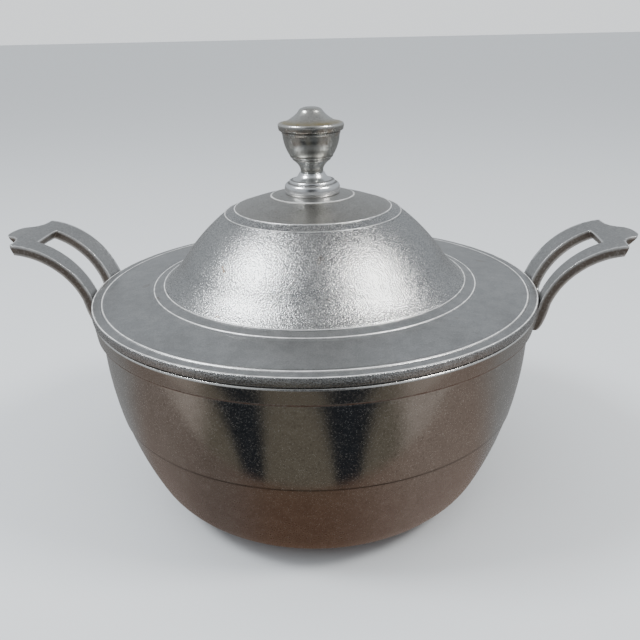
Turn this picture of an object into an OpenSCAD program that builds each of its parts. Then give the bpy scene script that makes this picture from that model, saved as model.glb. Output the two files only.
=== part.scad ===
// Covered serving bowl: a round cast bowl with two slotted strap handles,
// a bell-shaped lid with turned rings, and an urn finial on a turned pedestal.
// Millimetres, +Z up, origin on the table under the middle of the bowl.

/* [Bowl] */
// Radius of the rim at its outer edge
rim_r = 125; // [120:0.5:130]
// Height of the rim above the table
rim_h = 122; // [118:0.5:128]
// Wall thickness of the casting
wall = 3.7; // [3:0.1:4.2]
// Height of the thicker band under the rim
band_h = 9.4; // [8.4:0.2:10.4]
// How far the band stands out beyond the wall below it
band_step = 3.9; // [3.2:0.1:4.4]
// How far the band leans in towards its lower edge
band_taper = 1; // [0.6:0.1:1.4]
// Depth and height of the groove under the band
groove = 0.6; // [0.3:0.1:0.9]
// Straight stretch of wall between the groove and the curve
neck_h = 1.9; // [1:0.1:3]
// Angle that the wall turns inwards before the bottom corner
wall_sweep = 25.6; // [24:0.2:28]
// Radius of the bottom corner
corner_arc = 38; // [34:1:42]
// Height of the shallow step round the wall
belt_h = 64; // [56:1:72]
// Depth of that step
belt_d = 0.35; // [0.2:0.05:0.6]
// Height and width of the foot ring
foot_h = 2; // [1.6:0.2:3]
foot_w = 7; // [5:0.5:9]

/* [Handles] */
// Outside radius of the strap's arc
grip_arc = 48.2; // [47:0.2:49]
// Thickness of the strap
grip_t = 5.4; // [4.6:0.2:6]
// Distance from the bowl's axis to the middle of the arc
grip_x = 172.1; // [171.7:0.1:172.4]
// How far the middle of the arc lies below the rim
grip_drop = 12.1; // [11.6:0.1:12.6]
// How far the underside stops short of the tip
beak = 5.4; // [4.5:0.1:6]
// Half the width over both legs, at the shoulders and at the bowl
grip_w = 28.4; // [26:0.2:30]
grip_root_w = 25; // [24:0.2:26]
// Distance from the axis to the shoulders, and to the tip
shoulder_x = 165; // [163:0.5:166]
tip_x = 177.8; // [177:0.2:179]
// Half the width of the tongue at the tip
tongue_w = 10.2; // [9:0.2:12]
// Slot: where it ends, and half its width at the outer and the inner end
slot_x = 156; // [150:0.5:158]
slot_w = 12.8; // [11:0.2:14]
slot_root_w = 10.6; // [9:0.2:12]
// How far the foot reaches below the rim
foot_drop = 12.7; // [11.5:0.1:13.5]

/* [Lid] */
// Outer radius of the lid
lid_r = 125.6; // [125.2:0.1:125.7]
// Thickness of the casting
lid_t = 3.5; // [3:0.1:4]
// Height of the crown above the rim, and its radius of curvature
crown_h = 59.7; // [56:0.1:64]
crown_arc = 113.3; // [108:0.5:120]
// Radii of the two rings round the crown
crown_ring_in = 43.7; // [41:0.1:45]
crown_ring_out = 49.1; // [47:0.1:50]
// Drop from the inner to the outer crown ring
crown_ring_drop = 2.45; // [2:0.05:3]
// Radii of the two rings at the foot of the dome
cove_ring_in = 85.5; // [84:0.1:87]
cove_ring_out = 91.2; // [89.5:0.1:93]
// Drop from the inner to the outer of those rings
cove_ring_drop = 1.7; // [1.4:0.1:2]
// Radius and height of the ring just inside the lid's edge
edge_ring = 119.7; // [118:0.1:121]
edge_ring_z = 6; // [5.6:0.1:6.6]
// Depth of the locating ring inside the mouth
spigot_h = 3; // [2.4:0.2:3.2]
// Play of the locating ring in the mouth, all round
spigot_play = 0.6; // [0.4:0.1:1]
// Radii of the dome's convex side and of the cove at its foot
dome_arc = 109.3; // [107:0.1:112]
cove_arc = 51.6; // [50:0.1:54]
// Slope of the dome at its top ring, and at its steepest
dome_top_a = 36.7; // [36.2:0.1:37]
dome_side_a = 55.3; // [54.8:0.1:55.6]

/* [Finial] */
// Height of the seat, the neck and the top above the rim
seat_z = 58.6; // [58.2:0.1:58.8]
neck_z = 70; // [69:0.1:71]
finial_z = 104.6; // [103:0.1:107]
// Radius of the pedestal's foot, of the neck, and of the urn's lip
pedestal_r = 15.3; // [14:0.1:16]
neck_r = 6.3; // [5.6:0.1:7]
lip_r = 17.8; // [17:0.1:19]

/* [Fasteners] */
// Diameter of the finial's screw, its head and its washer
stud_d = 5; // [4:0.5:5]
stud_head_d = 9; // [8:0.5:10]
washer_d = 12; // [11:0.5:13]
// Diameter of the handle screws and of their flush heads
pin_d = 3.5; // [3:0.1:3.6]
pin_head_d = 7; // [6.4:0.1:7]
// How far those heads are domed beyond the wall
pin_crown = 0.6; // [0.3:0.1:0.8]
// Angle of each handle screw from the middle of its handle
pin_a = 9.4; // [9:0.1:10]
// How far the handle screws lie below the rim
pin_drop = 6.8; // [6.7:0.05:6.8]

/* [Hidden] */
$fn = 96;

cast_grey = [0.62, 0.63, 0.64];
lid_grey = [0.68, 0.69, 0.70];
polished = [0.80, 0.81, 0.82];
patina = [0.50, 0.48, 0.45];
steel = [0.72, 0.73, 0.75];

// Facets along a long and a short curve in a turned outline
long_n = 14;
short_n = 8;
// Gap that keeps curved faces of neighbouring pieces apart
play = 0.1;
// Gap between the handles and the lid's path
lid_path = 0.5;

// Points on an arc about c, from angle a0 to a1
function arc(c, r, a0, a1, n) =
    [for (i = [0:n]) let (a = a0 + (a1 - a0) * i / n) c + r * [cos(a), sin(a)]];
// Points on a curve from p0 to p2 that is drawn towards p1
function bend(p0, p1, p2, n = short_n) =
    [for (i = [0:n]) let (t = i / n) (1 - t) * (1 - t) * p0 + 2 * t * (1 - t) * p1 + t * t * p2];
function flip(points) = [for (i = [len(points) - 1:-1:0]) points[i]];
function raise(points, h) = [for (p = points) p + [0, h]];

// ---- bowl ----
belly_r = rim_r - band_step;
wall_arc = corner_arc + (rim_h - band_h - neck_h - foot_h - corner_arc) / sin(wall_sweep);
belly_z = rim_h - band_h - neck_h;
wall_c = [belly_r - wall_arc, belly_z];
corner_c = wall_c + (wall_arc - corner_arc) * [cos(wall_sweep), -sin(wall_sweep)];
belt_a = asin((belly_z - belt_h) / wall_arc);
foot_r = corner_c.x - 1;
mouth_r = belly_r - wall;
rim_edge = 0.8;

// The outside below the shallow step, from the flat bottom upwards
lower_wall = concat(
    arc(corner_c, corner_arc - belt_d, -90, -wall_sweep, long_n),
    arc(wall_c, wall_arc - belt_d, -wall_sweep, -belt_a, short_n));
upper_wall = arc(wall_c, wall_arc, -belt_a, 0, short_n);
inner_wall = concat(
    arc(wall_c, wall_arc - wall, 0, -wall_sweep, long_n),
    arc(corner_c, corner_arc - wall, -wall_sweep, -90, long_n));
groove_z = rim_h - band_h;
bowl_outline = concat(
    [[0, foot_h + belt_d],
     [foot_r - foot_w, foot_h + belt_d],
     [foot_r - foot_w, 0],
     [foot_r, 0],
     [foot_r, foot_h + belt_d]],
    lower_wall,
    upper_wall,
    [[belly_r, groove_z],
     [belly_r - groove, groove_z],
     [belly_r - groove, groove_z + groove],
     [rim_r - band_taper, groove_z + groove],
     [rim_r, rim_h - rim_edge],
     [rim_r - rim_edge, rim_h],
     [mouth_r, rim_h]],
    inner_wall,
    [[0, corner_c.y - corner_arc + wall]]);

// ---- handles ----
grip_c = [grip_x, rim_h - grip_drop];
clear_r = lid_r + lid_path;
// Where the strap's upper face meets the lid's path, as an angle on its arc
root_a = 180 - acos((grip_x - clear_r) / grip_arc);
// Where the strap's lower face turns under the foot
heel_a = 174;
// Where the strap's upper and lower faces end, a little outside the tongue's tip
nose_r = tip_x + 0.3;
nose_a = acos((nose_r - grip_x) / grip_arc);
beak_a = acos((nose_r - beak - grip_x) / (grip_arc - grip_t));
nose = grip_c + grip_arc * [cos(nose_a), sin(nose_a)];
heel = grip_c + (grip_arc - grip_t) * [cos(heel_a), sin(heel_a)];
foot_z = rim_h - foot_drop;
seat_gap = 0.05;
foot_top = rim_r + seat_gap;
foot_back = foot_top - band_taper * (foot_drop - rim_edge) / (band_h - groove - rim_edge);
grip_outline = concat(
    [[foot_back, foot_z], [foot_top, rim_h - rim_edge], [foot_top, rim_h], [clear_r, rim_h]],
    arc(grip_c, grip_arc, root_a, nose_a, 2 * long_n),
    bend(nose - [0, 0.6],
         nose - [0, grip_t * 0.7],
         grip_c + (grip_arc - grip_t) * [cos(beak_a), sin(beak_a)]),
    arc(grip_c, grip_arc - grip_t, beak_a + 1, heel_a, 2 * long_n),
    bend(heel, [heel.x, foot_z + 1], [foot_back + 1, foot_z]));
grip_half = concat(
    [[rim_r - 20, grip_root_w]],
    bend([clear_r, grip_root_w],
         [clear_r + 10, (grip_w + grip_root_w) / 2],
         [shoulder_x - 1, grip_w]),
    [[shoulder_x, grip_w - 0.6]],
    bend([shoulder_x, grip_w - 0.8], [shoulder_x, tongue_w + 2], [shoulder_x + 9, tongue_w]),
    bend([shoulder_x + 9.2, tongue_w], [tip_x, tongue_w - 0.7], [tip_x, 0.4]));
grip_span = 2 * asin(grip_w / rim_r);
// How deep each screw sits in the handle's foot
pin_reach = 4;

module grip_plan() {
    polygon(concat(grip_half, [for (p = flip(grip_half)) [p.x, -p.y]]));
}

module slot_plan() {
    polygon([
        [rim_r, -slot_root_w], [slot_x, -slot_w],
        [slot_x, slot_w], [rim_r, slot_root_w]]);
}

// Places its children on each screw's axis, which points out from the bowl's axis
module at_pins() {
    for (a = [-pin_a, pin_a])
        rotate([0, 0, a]) translate([mouth_r, 0, rim_h - pin_drop]) rotate([0, 90, 0]) children();
}

pin_len = rim_r - mouth_r + pin_reach;

// Rounded top of a screw's head, with a driver slit cut across it
slit = 1.2;
pin_crown_outline = concat([[0, 0]], [[pin_head_d / 2, 0]],
    bend([pin_head_d / 2, -0.2], [pin_head_d / 4, -pin_crown], [0, -pin_crown]));

module grip() {
    difference() {
        intersection() {
            rotate([0, 0, -grip_span / 2]) rotate_extrude(angle = grip_span) polygon(grip_outline);
            translate([0, 0, foot_z - 1]) linear_extrude(grip_arc + 10) grip_plan();
        }
        translate([0, 0, rim_h]) linear_extrude(grip_arc) slot_plan();
        at_pins() cylinder(d = pin_d, h = pin_len);
    }
}

// ---- lid ----
crown_c = [0, rim_h + crown_h - crown_arc];
crown_a = acos(crown_ring_in / crown_arc);
crown_ring_z = crown_c.y + crown_arc * sin(crown_a);
dome_top = [crown_ring_out, crown_ring_z - crown_ring_drop];
dome_c = dome_top - dome_arc * [sin(dome_top_a), cos(dome_top_a)];
dome_side = dome_c + dome_arc * [sin(dome_side_a), cos(dome_side_a)];
cove_c = dome_side + cove_arc * [sin(dome_side_a), cos(dome_side_a)];
dome_foot_a = asin((cove_c.x - cove_ring_in) / cove_arc);
dome_foot = cove_c - cove_arc * [sin(dome_foot_a), cos(dome_foot_a)];
cove_ring_out_z = dome_foot.y - cove_ring_drop;

function dome_line(t) = concat(
    arc(dome_c, dome_arc - t, 90 - dome_top_a, 90 - dome_side_a, long_n),
    arc(cove_c, cove_arc + t, 270 - dome_side_a, 270 - dome_foot_a, short_n));
spigot_r = mouth_r - spigot_play;
spigot_in = spigot_r - lid_t;
lip_gap = 1.1;
land_r = rim_r - 3;
boss_r = 9;
boss_z = rim_h + seat_z - lid_t - 0.3;
crown_in = crown_arc - lid_t;
boss_a = acos(boss_r / crown_in);
seat_a = acos(pedestal_r / crown_arc);
flange_in_z = cove_ring_out_z - lid_t;
lid_outline = concat(
    [[0, boss_z], [0, rim_h + seat_z], [pedestal_r, rim_h + seat_z]],
    arc(crown_c, crown_arc, seat_a, crown_a, long_n),
    dome_line(0),
    [[cove_ring_out, cove_ring_out_z],
     [edge_ring, rim_h + edge_ring_z]],
    bend([edge_ring + 2.3, rim_h + edge_ring_z - 0.9],
         [lid_r - 0.2, rim_h + edge_ring_z - 1.2],
         [lid_r, rim_h + 2.9]),
    [[lid_r, rim_h + lip_gap + 0.6],
     [lid_r - 0.6, rim_h + lip_gap],
     [land_r, rim_h + lip_gap],
     [land_r, rim_h],
     [spigot_r, rim_h],
     [spigot_r, rim_h - spigot_h],
     [spigot_in, rim_h - spigot_h],
     [spigot_in, rim_h + edge_ring_z + 0.8 - lid_t],
     [cove_ring_out, flange_in_z]],
    flip(dome_line(lid_t)),
    arc(crown_c, crown_in, crown_a, boss_a, long_n),
    [[boss_r, boss_z]]);

// ---- finial ----
stud_hole = stud_d + 0.4;
pedestal_outline = raise(concat(
    [[stud_hole / 2, seat_z], [pedestal_r, seat_z], [pedestal_r, seat_z + 1.2],
     [pedestal_r - 0.6, seat_z + 1.6]],
    bend([pedestal_r - 0.6, seat_z + 2.6], [pedestal_r - 1.2, seat_z + 6.4], [pedestal_r - 4.2, seat_z + 7.4]),
    bend([pedestal_r - 5, seat_z + 7.5], [neck_r + 0.8, neck_z - 2], [neck_r, neck_z]),
    [[stud_hole / 2, neck_z]]), rim_h);
lip_z = finial_z - 9.7;
urn_outline = raise(concat(
    [[0, neck_z], [neck_r, neck_z]],
    bend([neck_r, neck_z + 1.2], [neck_r + 0.6, neck_z + 4.4], [neck_r + 3.6, neck_z + 6.6]),
    bend([neck_r + 4.3, neck_z + 7.4], [lip_r - 2.4, lip_z - 12], [lip_r - 2, lip_z - 4.4]),
    bend([lip_r - 1.6, lip_z - 2.6], [lip_r - 0.1, lip_z - 1.8], [lip_r, lip_z]),
    bend([lip_r, lip_z + 0.4], [lip_r, lip_z + 1.6], [lip_r - 1.4, lip_z + 2]),
    bend([lip_r - 3.4, lip_z + 2.6], [7.6, lip_z + 5], [7.4, lip_z + 6.8]),
    bend([6.8, lip_z + 7.6], [5.6, finial_z], [0, finial_z])), rim_h);
stud_top = rim_h + neck_z + 14;
washer_t = 1.2;
stud_head_h = 3.2;

module bowl() {
    color(cast_grey) difference() {
        rotate_extrude() polygon(bowl_outline);
        for (side = [0, 180])
            rotate([0, 0, side]) at_pins() {
                cylinder(d = pin_d + 2 * play, h = pin_len);
                translate([0, 0, -1]) cylinder(d = pin_head_d + 2 * play, h = 1);
                cylinder(d1 = pin_head_d + 2 * play, d2 = pin_d + 2 * play, h = (pin_head_d - pin_d) / 2);
            }
    }
}

module right_handle() {
    color(cast_grey) grip();
}

module left_handle() {
    color(cast_grey) rotate([0, 0, 180]) grip();
}

module handle_screws() {
    color(steel) for (side = [0, 180])
        rotate([0, 0, side]) at_pins() translate([0, 0, play]) {
            cylinder(d = pin_d - play, h = pin_len - 0.5);
            cylinder(d1 = pin_head_d, d2 = pin_d - play, h = (pin_head_d - pin_d + play) / 2);
            difference() {
                rotate_extrude() polygon(pin_crown_outline);
                translate([-pin_head_d, -slit / 2, -1 - pin_crown]) cube([2 * pin_head_d, slit, 1.2]);
            }
        }
}

module lid() {
    color(lid_grey) difference() {
        rotate_extrude() polygon(lid_outline);
        translate([0, 0, boss_z - 1]) cylinder(d = stud_hole, h = lid_t + 10);
    }
}

module finial_pedestal() {
    color(polished) rotate_extrude() polygon(pedestal_outline);
}

module finial_urn() {
    color(patina) difference() {
        rotate_extrude() polygon(urn_outline);
        translate([0, 0, rim_h + neck_z - 1]) cylinder(d = stud_d, h = stud_top + 2 - rim_h - neck_z);
    }
}

module finial_screw() {
    head_z = boss_z - washer_t;
    color(steel) {
        translate([0, 0, head_z]) cylinder(d = stud_d - play, h = stud_top - head_z);
        translate([0, 0, head_z - stud_head_h]) difference() {
            cylinder(d = stud_head_d, h = stud_head_h);
            translate([-stud_head_d, -slit / 2, -1]) cube([2 * stud_head_d, slit, 2.2]);
        }
    }
}

module finial_washer() {
    color(steel) translate([0, 0, boss_z - washer_t]) difference() {
        cylinder(d = washer_d, h = washer_t);
        translate([0, 0, -1]) cylinder(d = stud_hole, h = washer_t + 2);
    }
}

bowl();
left_handle();
right_handle();
handle_screws();
lid();
finial_pedestal();
finial_urn();
finial_screw();
finial_washer();
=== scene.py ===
"""Covered serving bowl: a cast bowl with two slotted strap handles, and a bell-shaped lid with a finial.

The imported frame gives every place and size. The castings and the finial are turned or bent here
with finer edges, rings and beads than the frame has, and the fasteners inside are dressed as they are.
Metres, +Z up, +X towards the right handle, -Y towards the front.
"""

import logging
import math
from dataclasses import dataclass
from enum import Enum
from typing import Sequence, Union

import bmesh
import bpy
from mathutils import Matrix, Vector

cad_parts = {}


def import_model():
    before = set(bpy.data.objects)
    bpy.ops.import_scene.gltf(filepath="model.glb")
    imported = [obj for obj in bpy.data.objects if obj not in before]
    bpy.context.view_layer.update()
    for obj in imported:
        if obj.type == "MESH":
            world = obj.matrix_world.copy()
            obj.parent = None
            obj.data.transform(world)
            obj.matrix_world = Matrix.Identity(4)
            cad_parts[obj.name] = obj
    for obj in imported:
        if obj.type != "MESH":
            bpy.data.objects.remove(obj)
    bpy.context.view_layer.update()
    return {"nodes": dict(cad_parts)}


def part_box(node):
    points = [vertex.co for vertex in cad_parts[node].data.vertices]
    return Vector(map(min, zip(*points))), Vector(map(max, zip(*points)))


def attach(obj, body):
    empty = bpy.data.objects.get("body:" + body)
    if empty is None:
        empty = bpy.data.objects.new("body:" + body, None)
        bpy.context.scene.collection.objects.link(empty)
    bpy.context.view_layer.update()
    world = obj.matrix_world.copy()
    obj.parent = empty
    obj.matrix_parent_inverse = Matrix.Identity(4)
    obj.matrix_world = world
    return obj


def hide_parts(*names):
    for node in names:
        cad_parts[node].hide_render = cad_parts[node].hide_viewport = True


LOG = logging.getLogger("serving_bowl")
MM = 0.001

Point = tuple[float, float]
Colour = tuple[float, float, float]
Value = Union["Signal", float]


# ---- outlines, in millimetres (distance from the axis, height) ----

def arc(centre: Point, radius: float, start: float, end: float, steps: int) -> list[Point]:
    """Points along a circular arc.

    Args:
        centre: Middle of the circle.
        radius: Its radius.
        start: Angle of the first point, in degrees.
        end: Angle of the last point, in degrees.
        steps: How many stretches the arc is cut into.

    Returns:
        The points in order, both ends among them.
    """
    angles = [math.radians(start + (end - start) * i / steps) for i in range(steps + 1)]
    return [(centre[0] + radius * math.cos(a), centre[1] + radius * math.sin(a)) for a in angles]


def bend(first: Point, pull: Point, last: Point, steps: int = 10) -> list[Point]:
    """Points along a curve from one point to another that is drawn towards a third.

    Args:
        first: Where the curve starts.
        pull: The point that it leans towards.
        last: Where it ends.
        steps: How many stretches it is cut into.

    Returns:
        The points in order, both ends among them.
    """
    line = []
    for i in range(steps + 1):
        t = i / steps
        a, b, c = (1 - t) ** 2, 2 * t * (1 - t), t * t
        line.append((a * first[0] + b * pull[0] + c * last[0], a * first[1] + b * pull[1] + c * last[1]))
    return line


def bead(middle: Point, slope: float, width: float, height: float, steps: int = 8) -> list[Point]:
    """A small rounded ridge across a sloping surface.

    Args:
        middle: Point on the surface under the crest of the ridge.
        slope: How steeply the surface falls outwards there, in degrees.
        width: Width of the ridge.
        height: Height of its crest; below zero it is a groove.
        steps: How many stretches its section is cut into.

    Returns:
        The points of its section, from its inner to its outer foot.
    """
    along = Vector((math.cos(math.radians(slope)), -math.sin(math.radians(slope))))
    out = Vector((-along.y, along.x))
    line = []
    for i in range(steps + 1):
        t = i / steps
        spot = Vector(middle) + along * width * (t - 0.5) + out * height * math.sin(math.pi * t)
        line.append((spot.x, spot.y))
    return line


def rounded(corners: Sequence[Point], radius: float, steps: int = 4) -> list[Point]:
    """A line through corners, each rounded off, with both ends kept.

    Args:
        corners: The points that the line turns at.
        radius: How far from each corner the rounding starts.
        steps: How many stretches each rounding is cut into.

    Returns:
        The rounded line.
    """
    line = [corners[0]]
    for before, corner, after in zip(corners, corners[1:], corners[2:]):
        here = Vector(corner)
        back, on = Vector(before) - here, Vector(after) - here
        start = here + back.normalized() * min(radius, back.length * 0.45)
        end = here + on.normalized() * min(radius, on.length * 0.45)
        line += bend(tuple(start), corner, tuple(end), steps)
    return line + [corners[-1]]


def spread(low: float, high: float, count: int) -> list[float]:
    """Numbers spaced evenly between two others, which are left out."""
    return [low + (high - low) * i / count for i in range(1, count)]


def lifted(line: Sequence[Point], height: float) -> list[Point]:
    """The same line, higher up."""
    return [(r, z + height) for r, z in line]


def metres(bands: Sequence[Point], height: float = 0.0) -> tuple[Point, ...]:
    """Bands of a height and a width, lifted and turned from millimetres into metres."""
    return tuple(((z + height) * MM, width * MM) for z, width in bands)


# ---- meshes ----

class Form:
    """A mesh under construction, which becomes a piece that rides on a body."""

    def __init__(self, name: str) -> None:
        """Starts an empty form with the piece's name."""
        self.name = name
        self.mesh = bmesh.new()

    def turn(self, outline: Sequence[Point], steps: int) -> None:
        """Spins a closed outline, or one that starts and ends on the axis, a full turn.

        Args:
            outline: Points of the section, in millimetres.
            steps: How many stretches the turn is cut into.
        """
        dots = [self.mesh.verts.new((r * MM, 0, z * MM)) for r, z in outline]
        lines = [self.mesh.edges.new(pair) for pair in zip(dots, dots[1:])]
        if outline[0][0] > 0 or outline[-1][0] > 0:
            lines.append(self.mesh.edges.new((dots[-1], dots[0])))
        bmesh.ops.spin(self.mesh, geom=dots + lines, cent=(0, 0, 0), axis=(0, 0, 1), dvec=(0, 0, 0),
                       angle=math.tau, steps=steps, use_merge=True, use_duplicate=False)
        bmesh.ops.remove_doubles(self.mesh, verts=self.mesh.verts, dist=1e-6)
        bmesh.ops.dissolve_degenerate(self.mesh, edges=self.mesh.edges, dist=1e-7)
        bmesh.ops.recalc_face_normals(self.mesh, faces=self.mesh.faces)

    def finished(self, body: str, nodes: Sequence[str], look: bpy.types.Material,
                 sharp: float = 40.0) -> bpy.types.Object:
        """Turns the form into an object that stands for frame nodes.

        Args:
            body: The body that it rides on.
            nodes: The frame nodes that it replaces.
            look: Its finish.
            sharp: Edges that turn by more degrees than this stay sharp.

        Returns:
            The new object.
        """
        limit = math.radians(sharp)
        for face in self.mesh.faces:
            face.smooth = True
        for edge in self.mesh.edges:
            edge.smooth = len(edge.link_faces) == 2 and edge.calc_face_angle(0.0) < limit
        data = bpy.data.meshes.new(self.name)
        self.mesh.to_mesh(data)
        self.mesh.free()
        data.materials.append(look)
        piece = bpy.data.objects.new(self.name, data)
        bpy.context.scene.collection.objects.link(piece)
        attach(piece, body)
        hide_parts(*nodes)
        return piece


# ---- shader maths ----

class Signal:
    """One number that varies over a surface, with the operators that finishes use."""

    def __init__(self, tree: "Tree", socket: bpy.types.NodeSocket) -> None:
        """Keeps the socket that gives the number, and the tree that it is in."""
        self.tree = tree
        self.socket = socket

    def _with(self, operation: str, *values: Value) -> "Signal":
        """One Math node on these values."""
        return Signal(self.tree, self.tree.node("ShaderNodeMath", {"operation": operation},
                                                dict(enumerate(values))).outputs[0])

    def __add__(self, other: Value) -> "Signal":
        """Sum."""
        return self._with("ADD", self, other)

    def __sub__(self, other: Value) -> "Signal":
        """Difference."""
        return self._with("SUBTRACT", self, other)

    def __mul__(self, other: Value) -> "Signal":
        """Product."""
        return self._with("MULTIPLY", self, other)

    def __truediv__(self, other: Value) -> "Signal":
        """Quotient."""
        return self._with("DIVIDE", self, other)

    def __pow__(self, other: Value) -> "Signal":
        """Power."""
        return self._with("POWER", self, other)

    def __rsub__(self, other: Value) -> "Signal":
        """Difference from a number."""
        return self._with("SUBTRACT", other, self)

    __radd__ = __add__
    __rmul__ = __mul__

    def clamped(self) -> "Signal":
        """The number held between 0 and 1."""
        return self.tree.remap(self, 0, 1, 0, 1)

    def step(self, low: float, high: float) -> "Signal":
        """Rises smoothly from 0 at low to 1 at high, or falls if high is the lower."""
        if low < high:
            return self.tree.remap(self, low, high, 0, 1, smooth=True)
        return self.tree.remap(self, high, low, 1, 0, smooth=True)

    def near(self, spot: Value, width: float, core: float = 0.0) -> "Signal":
        """1 within a core round a spot, falling smoothly to 0 a width away from it."""
        return self._with("ABSOLUTE", self - spot).step(width, core)

    def atleast(self, other: Value) -> "Signal":
        """The larger of two numbers."""
        return self._with("MAXIMUM", self, other)


class Tree:
    """The node tree of one finish."""

    def __init__(self, name: str, sky: bool = False) -> None:
        """Starts a material, or the sky, with its shader on its output.

        Args:
            name: Its name.
            sky: Whether it is the sky, where the place of a point is its direction.
        """
        self.material = (bpy.data.worlds if sky else bpy.data.materials).new(name)
        self.material.use_nodes = True
        self.nodes = self.material.node_tree.nodes
        self.links = self.material.node_tree.links
        self.shader = self.nodes["Background" if sky else "Principled BSDF"]
        self.place = self.node("ShaderNodeTexCoord").outputs["Generated" if sky else "Object"]
        parts = self.node("ShaderNodeSeparateXYZ", values={0: self.place}).outputs
        self.x, self.y, self.z = (Signal(self, part) for part in parts)
        self.r = (self.x ** 2 + self.y ** 2) ** 0.5
        self.bearing = Signal(self, self.node("ShaderNodeMath", {"operation": "ARCTAN2"},
                                              {0: self.x, 1: 0.0 - self.y}).outputs[0])

    def node(self, kind: str, settings: dict | None = None, values: dict | None = None) -> bpy.types.Node:
        """Adds a node.

        Args:
            kind: Its type.
            settings: Its own options, set before its sockets.
            values: What each input socket takes, by name or number: a value, a socket or a Signal.

        Returns:
            The node.
        """
        made = self.nodes.new(kind)
        for key, setting in (settings or {}).items():
            setattr(made, key, setting)
        for key, value in (values or {}).items():
            self.feed(made.inputs[key], value)
        return made

    def feed(self, socket: bpy.types.NodeSocket, value: object) -> None:
        """Gives a socket a link or a value."""
        source = value.socket if isinstance(value, Signal) else value
        if isinstance(source, bpy.types.NodeSocket):
            self.links.new(source, socket)
        elif isinstance(source, tuple) and len(source) == 3 and socket.type == "RGBA":
            socket.default_value = (*source, 1)
        else:
            socket.default_value = source

    def remap(self, value: Value, low: float, high: float, out_low: float, out_high: float,
              smooth: bool = False) -> Signal:
        """Maps one range of numbers onto another, and holds it there.

        Args:
            value: The number to map.
            low: Start of its range.
            high: End of its range.
            out_low: What the start becomes.
            out_high: What the end becomes.
            smooth: Whether the ends ease in and out.

        Returns:
            The mapped number.
        """
        made = self.node("ShaderNodeMapRange",
                         {"interpolation_type": "SMOOTHSTEP" if smooth else "LINEAR", "clamp": True},
                         {0: value, 1: low, 2: high, 3: out_low, 4: out_high})
        return Signal(self, made.outputs[0])

    def noise(self, size: float, detail: float = 2.0, rough: float = 0.5,
              stretch: tuple[float, float, float] = (1, 1, 1)) -> Signal:
        """Cloudy noise from 0 to 1.

        Args:
            size: Size of its patches, in metres.
            detail: How many finer layers it has.
            rough: How strong those are.
            stretch: How many times finer it is along each axis.

        Returns:
            The noise.
        """
        spot = self.node("ShaderNodeMapping", {}, {"Vector": self.place, "Scale": stretch}).outputs[0]
        made = self.node("ShaderNodeTexNoise", {"noise_dimensions": "3D"},
                         {"Vector": spot, "Scale": 1 / size, "Detail": detail, "Roughness": rough})
        return Signal(self, made.outputs[0])

    def cells(self, size: float) -> Signal:
        """Distance to the nearest of many scattered dots, as a share of their spacing."""
        made = self.node("ShaderNodeTexVoronoi", {"feature": "F1"},
                         {"Vector": self.place, "Scale": 1 / size})
        return Signal(self, made.outputs["Distance"])

    def mix(self, share: Value, under: object, over: object) -> bpy.types.NodeSocket:
        """Lays one colour over another by a share from 0 to 1."""
        made = self.node("ShaderNodeMix", {"data_type": "RGBA", "clamp_factor": True},
                         {0: share, 6: under, 7: over})
        return made.outputs[2]

    def line(self, mark: "Mark") -> Signal:
        """A thin line from end to end of a mark, seen from above.

        Args:
            mark: The mark, in millimetres.

        Returns:
            1 on the line, 0 off it.
        """
        start = Vector(mark.start) * MM
        way = Vector(mark.end) * MM - start
        half = way.length / 2
        way.normalize()
        across = ((self.x - start.x) * -way.y + (self.y - start.y) * way.x).near(0.0, mark.width * MM)
        along = ((self.x - start.x) * way.x + (self.y - start.y) * way.y).near(half, half)
        return across * along.step(0.0, 0.2)

    def painted(self, name: str) -> Signal:
        """A share that is kept on the mesh's points."""
        return Signal(self, self.node("ShaderNodeAttribute", {"attribute_name": name}).outputs["Fac"])

    def bands(self, bands: Sequence[Point]) -> Signal:
        """Level bands round the axis, each given by its height and how far it fades, in metres."""
        shade = self.z.near(*bands[0])
        for height, width in bands[1:]:
            shade = shade.atleast(self.z.near(height, width))
        return shade

    def relief(self, *layers: tuple[Signal, float]) -> bpy.types.NodeSocket:
        """Makes a relief out of layers that lie on one another.

        Args:
            layers: For each, its heights from 0 to 1, and how tall 1 is, in metres.

        Returns:
            The normal.
        """
        normal = None
        for height, depth in layers:
            values = {"Height": height, "Distance": depth, "Strength": 1.0}
            if normal is not None:
                values["Normal"] = normal
            normal = self.node("ShaderNodeBump", {}, values).outputs[0]
        return normal

    def dress(self, **sockets: object) -> bpy.types.Material:
        """Feeds the shader's sockets, named with underscores, and gives back the material."""
        for key, value in sockets.items():
            self.feed(self.shader.inputs[key.replace("_", " ")], value)
        return self.material


# ---- finishes ----

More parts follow.
